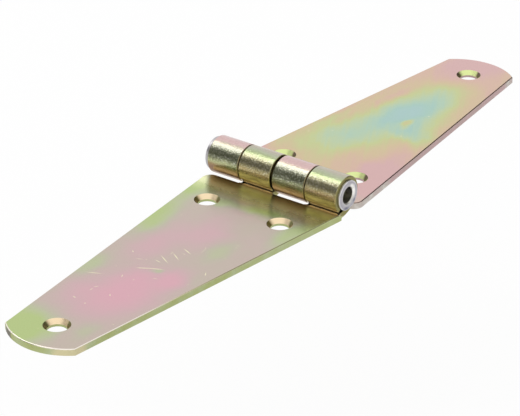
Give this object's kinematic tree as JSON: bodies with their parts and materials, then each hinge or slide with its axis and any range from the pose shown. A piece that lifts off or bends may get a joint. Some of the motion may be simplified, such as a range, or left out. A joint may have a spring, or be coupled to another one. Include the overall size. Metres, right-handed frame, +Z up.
{
  "type": "triangle hinge",
  "caption": "Triangle hinge lying open: tapered sheet steel leaves with rolled, interleaved knuckles on a riveted pin, and countersunk screw holes.",
  "frame": {"origin": "on the plane of the underside, straight below the pin and at the middle of its length", "axes": "+X along the far leaf to its tip, +Y along the pin to its formed head, +Z up out of the faces that carry the countersinks"},
  "size_m": [0.2, 0.0425, 0.011],
  "materials": {
    "yellow_zinc": "yellow chromate on zinc plated steel sheet, satin, with pink, green and gold tints and fine scratches",
    "grey_zinc": "plain zinc on the turned steel pin, dull grey with a slight lilac tint"
  },
  "bodies": {
    "near_leaf": {"near_leaf": "yellow_zinc", "hinge_pin": "grey_zinc"},
    "far_leaf": {"far_leaf": "yellow_zinc"}
  },
  "joints": [
    {"name": "leaf_swing", "type": "hinge", "parent": "near_leaf", "child": "far_leaf", "pos_m": [0, 0, 0.006], "axis": [0, -1, 0], "range_deg": [-40, 180]}
  ]
}
